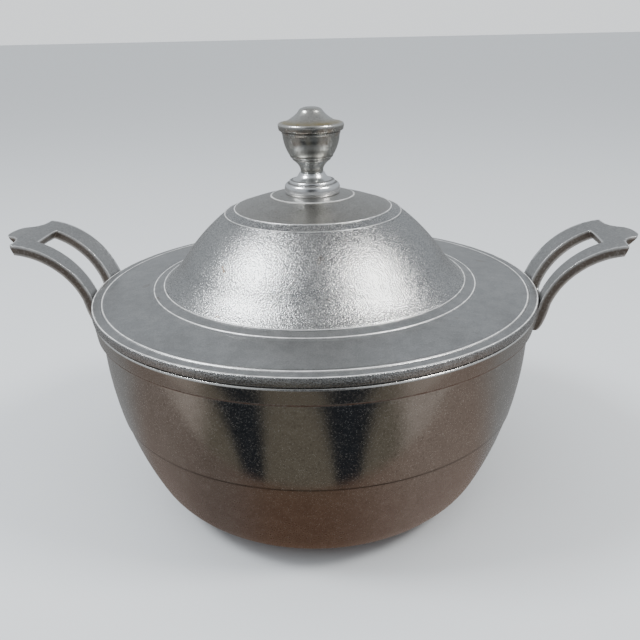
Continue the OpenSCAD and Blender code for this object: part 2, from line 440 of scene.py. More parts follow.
@dataclass(frozen=True)
class CastBowlFinish:
    """Semi-polished cast metal, speckled, with a brown tarnish in the groove under the band. A painted
    highlight lies on the rim, a line of painted shade where the belt steps in, and a warmer, darker painted
    reflection below the belt.
    """
    rim: float
    groove: float
    belt: float
    waist: float
    olive: Colour = (0.50, 0.48, 0.45)
    lower_reflection_tint: Colour = (0.47, 0.425, 0.40)
    pale: Colour = (0.78, 0.77, 0.75)
    rust: Colour = (0.19, 0.105, 0.07)
    band: Colour = (0.46, 0.43, 0.40)

    def material(self) -> bpy.types.Material:
        """The finished material."""
        t = Tree("cast_bowl")
        grain = t.noise(0.0009, 3.0, 0.68)
        speck = t.cells(0.00075).step(0.42, 0.16) * grain.step(0.42, 0.60)
        cloud = t.noise(0.035, 3.0, 0.55)
        drift = t.noise(0.007, 4.0, 0.6)
        # Painted reflection: below the belt the colour turns warmer and darker, standing for a brown table
        # mirrored in the metal.
        low = (t.z + cloud * 0.012).step(self.belt + 0.014, self.belt - 0.02)
        base = t.mix(low, self.olive, self.lower_reflection_tint)
        base = t.mix((drift - 0.45) * 0.8, base, self.pale)
        base = t.mix(speck * 0.55, base, self.pale)
        base = t.mix(grain.step(0.48, 0.32) * 0.45, base, (0.14, 0.13, 0.12))
        on_band = t.z.step(self.groove + 0.0004, self.groove + 0.0012)
        base = t.mix(on_band * 0.6, base, self.band)
        # Painted highlight: the top of the rim is painted near white.
        bright = t.z.step(self.rim - 0.0011, self.rim - 0.0005)
        base = t.mix(bright * 0.9, base, (0.86, 0.85, 0.82))
        dirt = (t.z.near(self.groove - 0.0002, 0.0017, 0.0007) * (drift * 1.4 + 0.15)).clamped()
        base = t.mix(dirt, base, self.rust)
        # Painted shade: a dark line is painted where the belt steps in, outside the waist.
        outside = t.r.step(self.waist - 0.0025, self.waist - 0.0015)
        crease_shade = (t.z.near(self.belt + 0.0002, 0.0011) * outside * (drift * 0.9 + 0.45)).clamped()
        base = t.mix(crease_shade, base, (0.10, 0.085, 0.075))
        glint = speck.atleast(grain.step(0.50, 0.66) * 0.7)
        rough = (grain * 0.12 + drift * 0.07 + 0.045 + low * 0.07 + on_band * 0.05 + dirt * 0.3
                 + glint * 0.16).clamped()
        metal = (1 - dirt * 0.15 - glint * 0.028).clamped()
        return t.dress(Base_Color=base, Metallic=metal, Roughness=rough,
                       Normal=t.relief((grain, 0.00003), (drift, 0.00004)))


@dataclass(frozen=True)
class Mark:
    """A nick, a scratch or a stain: a short line on the lid, with half its width and its strength."""
    start: Point
    end: Point
    width: float
    depth: float


@dataclass(frozen=True)
class CastLidFinish:
    """Pebbled cast grain on the dome and the edge, a smooth satin flange, and turned rings that carry
    painted highlights.
    """
    rings: tuple[tuple[float, float, float], ...]
    crown: float
    cove: float
    edge: float
    marks: tuple[Mark, ...]
    body: Colour = (0.50, 0.505, 0.51)
    warm: Colour = (0.44, 0.425, 0.40)
    dark: Colour = (0.15, 0.15, 0.15)
    bright: Colour = (0.80, 0.80, 0.79)
    stain: Colour = (0.20, 0.13, 0.075)

    def material(self) -> bpy.types.Material:
        """The finished material."""
        t = Tree("cast_lid")
        grain = t.noise(0.0006, 3.0, 0.68)
        pebble = t.cells(0.0009)
        cloud = t.noise(0.03, 3.0, 0.55)
        drift = t.noise(0.006, 4.0, 0.6)
        on_crown = t.r.step(self.crown, self.crown - 0.001)
        on_flange = t.r.step(self.cove - 0.0057, self.cove - 0.0052)
        on_flange = on_flange * t.r.step(self.edge + 0.0056, self.edge + 0.0051)
        grainy = (1 - on_crown * 0.5) * (1 - on_flange * 0.62)
        # Painted highlights: the turned rings are painted near white and made partly diffuse, so they stay
        # bright under any light.
        ring: Value = 0.0
        for radius, width, height in self.rings:
            outside = t.z.step(height - 0.0028, height - 0.0018)
            ring = (t.r.near(radius, width) * outside).atleast(ring)
        base = t.mix(on_crown * 0.8 + cloud * 0.3, self.body, self.warm)
        base = t.mix(grain.step(0.50, 0.33) * grainy * 0.85, base, self.dark)
        base = t.mix(grain.step(0.54, 0.66) * grainy * 0.85, base, self.bright)
        base = t.mix((drift - 0.5) * 0.7, base, self.bright)
        smudge = cloud.step(0.36, 0.66) * 0.10 + drift.step(0.52, 0.40) * 0.10
        base = t.mix(smudge * on_flange, base, self.dark)
        spots = t.noise(0.011, 2.0, 0.4).step(0.70, 0.76)
        base = t.mix(spots * 0.25, base, self.stain)
        ring = (ring * (drift * 1.2 + 0.26)).clamped()
        base = t.mix(ring, base, (0.98, 0.98, 0.97))
        for mark in self.marks:
            base = t.mix(t.line(mark) * mark.depth, base, self.stain)
        rough = (grain * grainy * 0.24 + drift * 0.08 + 0.10 + on_flange * 0.15 + on_crown * 0.10
                 + ring * 0.20).clamped()
        pebbles = (1 - pebble + grain) * grainy * (1 - ring)
        return t.dress(Base_Color=base, Metallic=1 - ring * 0.55, Roughness=rough,
                       Normal=t.relief((pebbles, 0.00012), (drift, 0.00003)))


@dataclass(frozen=True)
class StrapFinish:
    """Flat grey satin casting, brown on its sides, with its edges painted bright and partly diffuse: rubbed
    metal and a painted highlight.
    """
    body: Colour = (0.42, 0.42, 0.42)
    brown: Colour = (0.21, 0.165, 0.13)
    bright: Colour = (0.88, 0.88, 0.87)

    def material(self) -> bpy.types.Material:
        """The finished material."""
        t = Tree("cast_handle")
        grain = t.noise(0.0011, 3.0, 0.6)
        drift = t.noise(0.007, 4.0, 0.6)
        wear_and_sheen, side = t.painted("wear_and_sheen"), t.painted("side")
        base = t.mix(side * (drift * 0.5 + 0.45), self.body, self.brown)
        base = t.mix(grain.step(0.48, 0.30) * 0.4, base, (0.12, 0.115, 0.11))
        base = t.mix(grain.step(0.55, 0.7) * 0.3, base, self.bright)
        # Rubbed metal and painted highlight: the bevelled edges are painted bright and partly diffuse.
        base = t.mix(wear_and_sheen * (drift + 0.4), base, self.bright)
        rough = (grain * 0.2 + drift * 0.15 + 0.27 - wear_and_sheen * 0.12).clamped()
        return t.dress(Base_Color=base, Metallic=1 - wear_and_sheen * 0.12, Roughness=rough,
                       Normal=t.relief((grain, 0.00008), (drift, 0.0002)))


@dataclass(frozen=True)
class CollarFinish:
    """Polished metal with faint turning lines and painted shade in its grooves and where it sits on the lid.
    """
    shade_bands: tuple[Point, ...]
    body: Colour = (0.86, 0.865, 0.87)
    dark: Colour = (0.09, 0.08, 0.07)

    def material(self) -> bpy.types.Material:
        """The finished material."""
        t = Tree("polished_collar")
        lines = t.noise(0.0009, 2.0, 0.5, (0.05, 0.05, 1.0))
        drift = t.noise(0.004, 4.0, 0.6)
        hollow = t.bands(self.shade_bands)
        # Painted shade: dark bands in the collar's grooves and at its seat on the lid.
        base = t.mix(hollow * (drift * 0.5 + 0.5), self.body, self.dark)
        base = t.mix(drift.step(0.55, 0.75) * 0.25, base, (0.42, 0.38, 0.33))
        rough = (lines * 0.06 + drift * 0.14 + 0.14 + hollow * 0.25).clamped()
        return t.dress(Base_Color=base, Metallic=1.0, Roughness=rough,
                       Normal=t.relief((drift, 0.00005), (lines, 0.00001)))


@dataclass(frozen=True)
class UrnFinish:
    """Satin casting with a warm grey patina, brown under its lip and yellowed in its top groove. Its grooves
    carry painted shade, its lip's edge a painted highlight, and its top is painted lighter as if lit from
    above.
    """
    lip: float
    groove: float
    shade_bands: tuple[Point, ...]
    body: Colour = (0.42, 0.425, 0.405)
    dark: Colour = (0.12, 0.115, 0.105)
    ochre: Colour = (0.36, 0.29, 0.14)
    bright: Colour = (0.72, 0.71, 0.68)

    def material(self) -> bpy.types.Material:
        """The finished material."""
        t = Tree("aged_urn")
        grain = t.noise(0.0008, 3.0, 0.6)
        drift = t.noise(0.005, 4.0, 0.6)
        hollow = t.bands(self.shade_bands)
        rust = t.z.near(self.lip - 0.0035, 0.004) * drift.step(0.42, 0.62)
        gold = t.z.step(self.lip, self.lip + 0.001) * t.r.near(self.groove, 0.0050) * (drift * 1.6 + 0.1)
        # Painted highlight: the lip's outer edge is painted bright.
        lip_highlight = t.z.near(self.lip, 0.0014) * t.r.step(0.0155, 0.017)
        base = t.mix((drift - 0.4) * 0.9, self.body, (0.60, 0.60, 0.57))
        # Painted light: the top above the lip is painted lighter, as if lit from above.
        base = t.mix(t.z.step(self.lip, self.lip + 0.001) * 0.7, base, self.bright)
        base = t.mix(grain.step(0.48, 0.30) * 0.35, base, self.dark)
        base = t.mix(rust * 0.55, base, (0.20, 0.11, 0.055))
        base = t.mix(gold * 0.9, base, self.ochre)
        # Painted shade: dark bands in the grooves under the fine rings and under the lip.
        base = t.mix(hollow * (drift * 0.5 + 0.5), base, self.dark)
        base = t.mix(lip_highlight * (drift * 0.6 + 0.5), base, self.bright)
        rough = (grain * 0.12 + drift * 0.08 + 0.13 + rust * 0.15 + gold * 0.2).clamped()
        return t.dress(Base_Color=base, Metallic=1.0, Roughness=rough,
                       Normal=t.relief((grain, 0.00002), (drift, 0.00006)))


@dataclass(frozen=True)
class MachinedFinish:
    """Bright steel with fine machining lines, a little oiled."""
    body: Colour = (0.60, 0.61, 0.62)

    def material(self) -> bpy.types.Material:
        """The finished material."""
        t = Tree("fastener_steel")
        lines = t.noise(0.0006, 2.0, 0.5, (0.2, 0.2, 1.0))
        drift = t.noise(0.003, 3.0, 0.5)
        base = t.mix(drift.step(0.5, 0.8) * 0.5, self.body, (0.36, 0.34, 0.32))
        rough = (lines * 0.15 + drift * 0.15 + 0.16).clamped()
        return t.dress(Base_Color=base, Metallic=1.0, Roughness=rough, Normal=t.relief((lines, 0.00003)))


# ---- castings ----

@dataclass
class BowlCasting:
    """The bowl: a band under the rim, a groove, a full belly with a shallow step, and a foot ring."""
    rim_radius: float
    rim_height: float
    band: float = 9.4
    band_step: float = 3.9
    band_lean: float = 1.0
    groove: float = 0.6
    neck: float = 1.9
    sweep: float = 25.6
    corner: float = 38.0
    belt: float = 64.0
    belt_step: float = 0.5
    foot: float = 2.0
    foot_width: float = 7.0
    wall: float = 3.7
    steps: int = 288

    def section(self) -> list[Point]:
        """The bowl's whole section.

        Returns:
            Points from the middle of the underside, up the outside, over the rim and down the inside.
        """
        rim, top = self.rim_radius, self.rim_height
        belly, start = rim - self.band_step, top - self.band - self.neck
        radius = self.corner + (start - self.foot - self.corner) / math.sin(math.radians(self.sweep))
        middle = (belly - radius, start)
        turn = math.radians(self.sweep)
        low = (middle[0] + (radius - self.corner) * math.cos(turn),
               middle[1] - (radius - self.corner) * math.sin(turn))
        step_angle = math.degrees(math.asin((start - self.belt) / radius))
        base, ring = self.foot + self.belt_step, low[0] - 1
        mouth = belly - self.wall
        under_band = top - self.band
        foot = rounded([(0, base), (ring - self.foot_width, base), (ring - self.foot_width, 0), (ring, 0),
                        (ring, base), arc(low, self.corner - self.belt_step, -88, -86, 1)[0]], 0.6)
        lower = arc(low, self.corner - self.belt_step, -86, -self.sweep, 26)
        lower += arc(middle, radius - self.belt_step, -self.sweep, -step_angle - 0.12, 16)[1:]
        upper = arc(middle, radius, -step_angle + 0.02, -0.4, 18)
        band = rounded([upper[-1], (belly, under_band), (belly - self.groove, under_band),
                        (belly - self.groove, under_band + self.groove),
                        (rim - self.band_lean, under_band + self.groove), (rim, top - 0.9),
                        (rim - 0.5, top), (mouth, top), (mouth - 0.05, start)], 0.35)
        inside = arc(middle, radius - self.wall, -0.5, -self.sweep, 18)
        inside += arc(low, self.corner - self.wall, -self.sweep, -90, 18)[1:]
        return foot[:-1] + lower + upper[:-1] + band[:-1] + inside + [(0, low[1] - self.corner + self.wall)]

    def build(self) -> bpy.types.Object:
        """Turns the bowl and dresses it."""
        form = Form("bowl_casting")
        section = self.section()
        form.turn(section, self.steps)
        waist = max(r for r, z in section if abs(z - self.belt) < 3)
        finish = CastBowlFinish(self.rim_height * MM, (self.rim_height - self.band) * MM + 0.0003,
                                self.belt * MM, waist * MM)
        return form.finished("bowl", ["bowl"], finish.material())


class Side(Enum):
    """Which side of the bowl a handle is on."""
    RIGHT = 0.0
    LEFT = math.pi


@dataclass
class StrapHandle:
    """A slotted strap that rises from the band, curls outwards and ends in a tongue."""
    side: Side
    rim_radius: float
    rim_height: float
    lid_path: float = 126.1
    arc_radius: float = 48.2
    thick: float = 5.4
    arc_middle: Point = (172.1, 109.9)
    arc_end: float = 82.9
    half_width: float = 28.4
    root_width: float = 25.0
    shoulder: float = 165.6
    waist: Point = (174.0, 10.2)
    tip: float = 177.8
    beak: float = 5.4
    slot_end: float = 156.0
    slot_half: float = 12.8
    slot_root: float = 10.9
    foot_drop: float = 12.7
    edge: float = 0.75
    slope_run: float = 12.0
    slope_side: float = 2.8
    skin: float = 1.6
    cuts_along: int = 64
    cuts_across: int = 22

    def __post_init__(self) -> None:
        """Works out where the strap leaves its foot."""
        self.root = 180 - math.degrees(math.acos((self.arc_middle[0] - self.lid_path) / self.arc_radius))
        self.rise = self.arc_middle[1] + self.arc_radius * math.sin(math.radians(self.root))
        self.foot_run = self.foot_drop + self.rise - self.rim_height

    def reach(self, x: float, w: float) -> float:
        """How far along the strap a point lies.

        Args:
            x: Its distance from the bowl's axis, along the handle.
            w: Its distance from the handle's middle plane.

        Returns:
            The distance from the foot's lower edge, along the strap.
        """
        share = (math.hypot(x, w) - self.arc_middle[0]) / self.arc_radius
        angle = math.degrees(math.acos(max(-1.0, min(1.0, share))))
        return self.foot_run + self.arc_radius * math.radians(self.root - angle)

    def face(self, s: float, inner: bool) -> Vector:
        """Point on the strap's section.

        Args:
            s: Distance along the strap.
            inner: Whether it is on the face towards the lid, or on the one away from it.

        Returns:
            Its distance from the axis and its height.
        """
        low = self.rim_height - self.foot_drop
        if s >= self.foot_run:
            share = (s - self.foot_run) / (self.arc_radius * math.radians(self.root - self.arc_end))
            first = self.root if inner else self.root - 2.6
            angle = math.radians(first + (self.arc_end - first) * share)
            radius = self.arc_radius if inner else self.arc_radius - self.thick
            return Vector(self.arc_middle) + radius * Vector((math.cos(angle), math.sin(angle)))
        if inner:
            stops = [(0.0, (self.rim_radius - 1.4, low)),
                     (11.9, (self.rim_radius + 0.05, self.rim_height - 0.8)),
                     (13.2, (self.lid_path, self.rim_height + 0.4)),
                     (self.foot_run, (self.lid_path, self.rise))]
            for (a, start), (b, end) in zip(stops, stops[1:]):
                if s <= b:
                    return Vector(start).lerp(Vector(end), (s - a) / (b - a))
        heel = self.face(self.foot_run, False)
        share = s / self.foot_run
        points = bend((self.rim_radius + 0.6, low), (self.rim_radius + 3.8, low + 1.0), tuple(heel), 24)
        spot = share * 24
        first = min(int(spot), 23)
        return Vector(points[first]).lerp(Vector(points[first + 1]), spot - first)

    def undercut(self, s: float, w: float, depth: float) -> float:
        """How far the strap's outer end slopes back towards its underside.

        Args:
            s: Distance along the strap.
            w: Distance from the handle's middle plane.
            depth: Share of the thickness below the upper face.

        Returns:
            The distance by which a point there moves back.
        """
        start = self.reach(self.shoulder, self.half_width) - self.slope_run
        share = max(0.0, min(1.0, (s - start) / self.slope_run))
        middle = max(0.0, min(1.0, (16 - abs(w)) / self.slope_run))
        most = self.slope_side + (self.beak - self.slope_side) * middle
        return most * share * max(0.0, depth * 1.2 - 0.2) ** 1.4

    def outline(self) -> list[Point]:
        """Half of the plate's edge laid flat.

        Returns:
            Points from the foot's corner, round the shoulder and the tongue, to the middle plane.
        """
        middling = (self.half_width + self.root_width) / 2
        side = bend((self.lid_path, self.root_width), (self.lid_path + 10, middling),
                    (self.shoulder - 1.8, self.half_width), 12)
        corner = bend(side[-1], (self.shoulder, self.half_width), (self.shoulder, self.half_width - 1.8), 5)
        curve = bend(corner[-1], (self.shoulder, self.waist[1] + 2), self.waist, 14)
        tongue = bend((self.waist[0] + 0.2, self.waist[1]), (self.tip, self.waist[1] * 0.62),
                      (self.tip, 0), 12)
        flat = [(self.reach(x, w), w) for x, w in side[1:-1] + corner + curve[1:] + tongue[1:]]
        return [(0.0, self.root_width), (self.foot_run, self.root_width)] + flat

    def plate(self) -> bmesh.types.BMesh:
        """Cuts the flat plate with its slot.

        Returns:
            A mesh whose x runs along the strap, y across it and z through it, in millimetres.
        """
        mesh = bmesh.new()
        half = self.outline()
        edge = half + [(s, -w) for s, w in reversed(half[:-1])]
        floor, end = self.foot_drop, self.reach(self.slot_end, self.slot_half)
        corners = [(floor, self.slot_root), (end, self.slot_half), (end, -self.slot_half),
                   (floor, -self.slot_root)]
        start = ((floor + end) / 2, (self.slot_root + self.slot_half) / 2)
        slot = rounded([start, *corners[1:], corners[0], start], 0.8, 3)[:-1]
        lines = []
        for loop in (edge, slot):
            dots = [mesh.verts.new((s, w, 0)) for s, w in loop]
            lines += [mesh.edges.new(pair) for pair in zip(dots, dots[1:] + dots[:1])]
        bmesh.ops.triangle_fill(mesh, use_beauty=True, use_dissolve=False, edges=lines, normal=(0, 0, 1))
        top = bmesh.ops.extrude_face_region(mesh, geom=list(mesh.faces), use_keep_orig=True)["geom"]
        bmesh.ops.translate(mesh, vec=(0, 0, -self.thick),
                            verts=[v for v in top if isinstance(v, bmesh.types.BMVert)])
        bmesh.ops.recalc_face_normals(mesh, faces=mesh.faces)
        return mesh

    def build(self, look: bpy.types.Material) -> bpy.types.Object:
        """Cuts, rounds, bends and dresses the strap.

        Args:
            look: Its finish.

        Returns:
            The handle.
        """
        form = Form(f"{self.side.name.lower()}_handle_casting")
        form.mesh.free()
        form.mesh = mesh = self.plate()
        side = mesh.verts.layers.float.new("side")
        wear_and_sheen = mesh.verts.layers.float.new("wear_and_sheen")
        rims = [e for e in mesh.edges if len(e.link_faces) == 2 and e.calc_face_angle(0.0) > 1.2
                and abs(e.verts[0].co.z - e.verts[1].co.z) < 1e-6]
        bmesh.ops.bevel(mesh, geom=rims, offset=self.edge, offset_type="OFFSET", segments=3, profile=0.5,
                        material=-1, affect="EDGES", clamp_overlap=True)
        length = max(v.co.x for v in mesh.verts)
        cuts = [((s, 0, 0), (1, 0, 0)) for s in spread(0.0, length, self.cuts_along)]
        cuts += [((0, w, 0), (0, 1, 0)) for w in spread(-self.half_width, self.half_width, self.cuts_across)]
        for depth in (-self.skin, self.thick * -0.5, self.skin - self.thick):
            cuts.append(((0, 0, depth), (0, 0, 1)))
        for spot, way in cuts:
            bmesh.ops.bisect_plane(mesh, geom=mesh.verts[:] + mesh.edges[:] + mesh.faces[:], dist=1e-5,
                                   plane_co=spot, plane_no=way, clear_inner=False, clear_outer=False)
        # Marks the bevelled edges, for rubbing and a painted highlight, and the side walls.
        for v in mesh.verts:
            inside = min(-v.co.z, v.co.z + self.thick)
            flat = all(abs(f.normal.z) > 0.99 for f in v.link_faces)
            v[wear_and_sheen] = 1.0 if inside < self.edge * 1.1 and not flat else 0.0
            v[side] = 0.0 if inside < self.edge * 1.1 else 1.0
        for v in mesh.verts:
            s, w, h = v.co
            s -= self.undercut(s, w, -h / self.thick)
            spot = self.face(s, False).lerp(self.face(s, True), 1 + h / self.thick)
            v.co = Vector((math.sqrt(spot.x ** 2 - w * w), w, spot.y)) * MM
        bmesh.ops.rotate(mesh, verts=mesh.verts, cent=(0, 0, 0),
                         matrix=Matrix.Rotation(self.side.value, 3, "Z"))
        bmesh.ops.remove_doubles(mesh, verts=mesh.verts, dist=1e-6)
        bmesh.ops.recalc_face_normals(mesh, faces=mesh.faces)
        return form.finished("bowl", [f"{self.side.name.lower()}_handle"], look, 50.0)


@dataclass
class LidCasting:
    """The lid: a crown, a steep dome, a cove and a flat flange, each set off by a ring that carries a
    painted highlight.
    """
    rim_height: float
    radius: float
    crown: float = 59.7
    crown_arc: float = 113.3
    crown_rings: tuple[float, float] = (43.7, 49.1)
    crown_drop: float = 2.45
    inner_ring: float = 23.0
    cove_rings: tuple[float, float] = (85.5, 91.2)
    cove_drop: float = 1.7
    edge_ring: float = 119.7
    edge_height: float = 6.0
    dome_arc: float = 109.3
    cove_arc: float = 51.6
    dome_slopes: tuple[float, float] = (36.7, 55.3)
    seat: Point = (15.3, 58.6)
    thick: float = 3.5
    mouth: float = 117.4
    steps: int = 288
    lip_ring: float = 0.8
    ring_widths: tuple[float, ...] = (0.8, 0.55, 0.5, 0.52, 0.55, 0.6, 0.5)
    marks: tuple[Mark, ...] = (
        Mark((-42.5, -51.5), (-40.5, -55.5), 0.6, 1.0), Mark((-41.5, -55), (-39.5, -55.5), 0.5, 0.8),
        Mark((-43, -117.5), (-39.5, -114.5), 0.3, 0.6), Mark((-24.5, -115.5), (-23, -115.5), 0.5, 0.6),
        Mark((-83.5, -39), (-81.5, -37), 0.7, 0.7), Mark((-82.5, -37), (-79.5, -41), 0.5, 0.6),
        Mark((-43.5, -72), (-40.5, -72.5), 0.7, 0.8), Mark((-43, -95.5), (-38, -96.5), 0.3, 0.3))

    def crown_point(self, r: float) -> Point:
        """Point on the crown at a distance from the axis."""
        return (r, self.crown - self.crown_arc + math.sqrt(self.crown_arc ** 2 - r * r))

    def section(self) -> list[Point]:
        """The lid's whole section.

        Returns:
            Points from the middle of the seat, over the outside, round the edge and back underneath.
        """
        slope = [math.degrees(math.asin(r / self.crown_arc)) for r in (self.inner_ring, *self.crown_rings)]
        step_top = self.crown_point(self.crown_rings[0])
        top = (self.crown_rings[1], step_top[1] - self.crown_drop)
        first, last = (math.radians(a) for a in self.dome_slopes)
        middle = (top[0] - self.dome_arc * math.sin(first), top[1] - self.dome_arc * math.cos(first))
        steep = (middle[0] + self.dome_arc * math.sin(last), middle[1] + self.dome_arc * math.cos(last))
        hollow = (steep[0] + self.cove_arc * math.sin(last), steep[1] + self.cove_arc * math.cos(last))
        foot = math.asin((hollow[0] - self.cove_rings[0]) / self.cove_arc)
        low = (self.cove_rings[0], hollow[1] - self.cove_arc * math.cos(foot))
        out = (self.cove_rings[1], low[1] - self.cove_drop)
        fall = math.degrees(math.atan2(out[1] - self.edge_height, self.edge_ring - out[0]))
        middling = math.degrees(math.atan2(step_top[1] - top[1], top[0] - step_top[0]))
        gentle = math.degrees(math.atan2(self.cove_drop, out[0] - low[0]))

        line = [(0, self.seat[1]), (self.seat[0] - 0.5, self.seat[1])]
        line += [self.crown_point(r) for r in (self.seat[0] + 0.6, 17.5, 19.5, 21.5)]
        line += bead(self.crown_point(self.inner_ring), slope[0], 1.8, 0.42)
        line += [self.crown_point(24.6 + i * 1.5) for i in range(12)]
        line += bead(step_top, (slope[1] + middling) / 2, 1.1, 0.46)
        line += [(46.4, (step_top[1] + top[1]) / 2 - 0.12)]
        line += bead(top, (middling + self.dome_slopes[0]) / 2, 1.1, 0.46)
        line += arc(middle, self.dome_arc, 89.2 - self.dome_slopes[0], 90 - self.dome_slopes[1], 26)
        line += arc(hollow, self.cove_arc, 270 - self.dome_slopes[1], 269.2 - math.degrees(foot), 18)[1:]
        line += bead(low, (math.degrees(foot) + gentle) / 2, 1.1, 0.42)
        line += [(88.4, (low[1] + out[1]) / 2 - 0.15)]
        line += bead(out, (gentle + fall) / 2, 1.1, 0.42)
        line += [(out[0] + 1.3, out[1] - 0.25)]
        line += bead((out[0] + 2.2, out[1] - 0.40), fall, 0.7, -0.08, 4)
        line += [(out[0] + i, out[1] - i * math.tan(math.radians(fall)) - 0.1) for i in (5, 12, 20, 26)]
        line += bead((self.edge_ring, self.edge_height), fall, 1.2, 0.34)
        line += bead((self.edge_ring + 1.15, self.edge_height - 0.12), fall, 0.8, -0.2, 4)
        ledge, guide = self.mouth + 4.6, self.mouth - 0.6
        line += rounded([(self.edge_ring + 1.8, self.edge_height - 0.20),
                         (self.radius - 0.25, self.edge_height - 0.50), (self.radius, 3.2),
                         (self.radius - 0.05, 1.2), (self.radius - 0.9, 1.1), (ledge, 1.1), (ledge, 0.05),
                         (guide, 0.05), (guide, -3.0), (guide - self.thick, -3.0),
                         (guide - self.thick, self.edge_height + 0.8 - self.thick),
                         (out[0], out[1] - self.thick)], 0.5, 3)
        gentle_end, steep_end = self.dome_slopes
        line += arc(hollow, self.cove_arc + self.thick, 270 - math.degrees(foot), 270 - steep_end, 12)
        line += arc(middle, self.dome_arc - self.thick, 90 - steep_end, 90 - gentle_end, 14)
        inner = self.crown_arc - self.thick
        start, end = math.degrees(math.acos(43.7 / inner)), math.degrees(math.acos(9.0 / inner))
        line += arc((0, self.crown - self.crown_arc), inner, start, end, 12)
        line += [(9.0, self.seat[1] - 3.8), (0, self.seat[1] - 3.8)]
        return lifted(line, self.rim_height)

    def build(self) -> bpy.types.Object:
        """Turns the lid and dresses it."""
        form = Form("lid_casting")
        section = self.section()
        form.turn(section, self.steps)
        # The rings' radii, widths and crests, where the finish paints its highlights.
        radii = (self.inner_ring, *self.crown_rings, *self.cove_rings, self.edge_ring,
                 self.radius - self.lip_ring)
        rings = []
        for radius, width in zip(radii, self.ring_widths):
            crest = max(z for r, z in section if abs(r - radius) < 1.5)
            rings.append((radius * MM, width * MM, crest * MM))
        finish = CastLidFinish(tuple(rings), self.crown_rings[0] * MM, self.cove_rings[1] * MM,
                               self.edge_ring * MM, self.marks)
        return form.finished("lid", ["lid"], finish.material())


@dataclass
class Pedestal:
    """The polished collar under the finial: a ringed foot, a rounded shoulder and a waisted neck."""
    rim_height: float
    # Heights and widths, in millimetres, of the bands of painted shade.
    shade_bands: tuple[Point, ...] = ((58.6, 0.45), (64.45, 0.3), (66.0, 0.25))
    steps: int = 160

    def section(self) -> list[Point]:
        """The collar's section.

        Returns:
            Points from the axis at the seat, up the outside to the axis at the neck.
        """
        line = rounded([(0, 58.6), (14.9, 58.6), (15.1, 59.2), (15.3, 60.2)], 0.2, 3)
        line += bend((15.3, 60.3), (15.55, 64.3), (13.0, 64.55), 14)
        line += [(12.85, 64.4)]
        line += bend((12.8, 64.65), (12.75, 66.0), (11.15, 66.1), 9)
        line += [(11.0, 65.95)]
        line += bend((10.85, 66.1), (8.1, 66.9), (7.1, 69.5), 12)
        line += rounded([(7.1, 69.5), (7.0, 69.8), (6.29, 70.0), (0, 70.0)], 0.2, 3)
        return lifted(line, self.rim_height)

    def build(self) -> bpy.types.Object:
        """Turns the collar and dresses it."""
        form = Form("pedestal_collar")
        form.turn(self.section(), self.steps)
        look = CollarFinish(metres(self.shade_bands, self.rim_height)).material()
        return form.finished("lid", ["finial_pedestal"], look)


@dataclass
class Urn:
    """The finial's urn: a flared body with two fine rings, a rolled lip and a flat-topped button."""
    rim_height: float
    lip: float = 95.6
    groove: float = 15.2
    # Heights and widths, in millimetres, of the bands of painted shade.
    shade_bands: tuple[Point, ...] = ((77.6, 0.4), (79.4, 0.4), (92.0, 0.8))
    steps: int = 160

    def section(self) -> list[Point]:
        """The urn's section.

        Returns:
            Points from the axis at the neck, up the outside to the axis at the top.
        """
        line = rounded([(0, 70.0), (6.0, 70.0), (6.25, 70.5), (6.3, 71.4)], 0.3, 3)
        line += bend((6.4, 72.1), (7.0, 74.1), (9.5, 76.2), 8)
        line += bend((9.8, 76.4), (10.6, 76.7), (10.55, 77.4), 5)
        line += [(10.75, 77.7)]
        line += bend((11.2, 78.0), (11.9, 78.4), (11.85, 79.2), 5)
        line += [(12.0, 79.5)]
        line += bend((12.3, 79.8), (14.8, 84.2), (15.4, 88.6), 12)
        line += rounded([(15.4, 88.6), (15.6, 90.6), (15.95, 90.9), (16.05, 91.3), (15.85, 91.7),
                         (16.6, 92.2), (17.4, 92.7), (17.6, 93.3), (17.75, 94.2)], 0.35, 4)
        line += bend((17.8, 94.5), (18.0, 96.0), (17.2, 96.3), 7)
        line += bend((16.9, 96.45), (16.3, 96.4), (16.0, 96.1), 4)
        line += bend((15.7, 96.15), (11.6, 97.9), (9.1, 99.9), 12)
        line += bend((8.8, 100.1), (7.2, 101.5), (6.5, 102.6), 8)
        line += bend((6.2, 103.05), (4.8, 104.6), (0, 104.6), 12)
        return lifted(line, self.rim_height)

    def build(self) -> bpy.types.Object:
        """Turns the urn and dresses it."""
        form = Form("urn_casting")
        form.turn(self.section(), self.steps)
        finish = UrnFinish((self.rim_height + self.lip) * MM, self.groove * MM,
                           metres(self.shade_bands, self.rim_height))
        return form.finished("lid", ["finial_urn"], finish.material())


@dataclass
class Fasteners:
    """The handle screws and the finial's screw and washer, which keep their frame meshes."""
    names: tuple[str, ...] = ("handle_screws", "finial_screw", "finial_washer")

    def build(self, nodes: dict[str, bpy.types.Object]) -> None:
        """Dresses the frame's own nodes.

        Args:
            nodes: The frame's nodes by name.
        """
        look = MachinedFinish().material()
        for name in self.names:
            nodes[name].data.materials.clear()
            nodes[name].data.materials.append(look)


# ---- studio ----

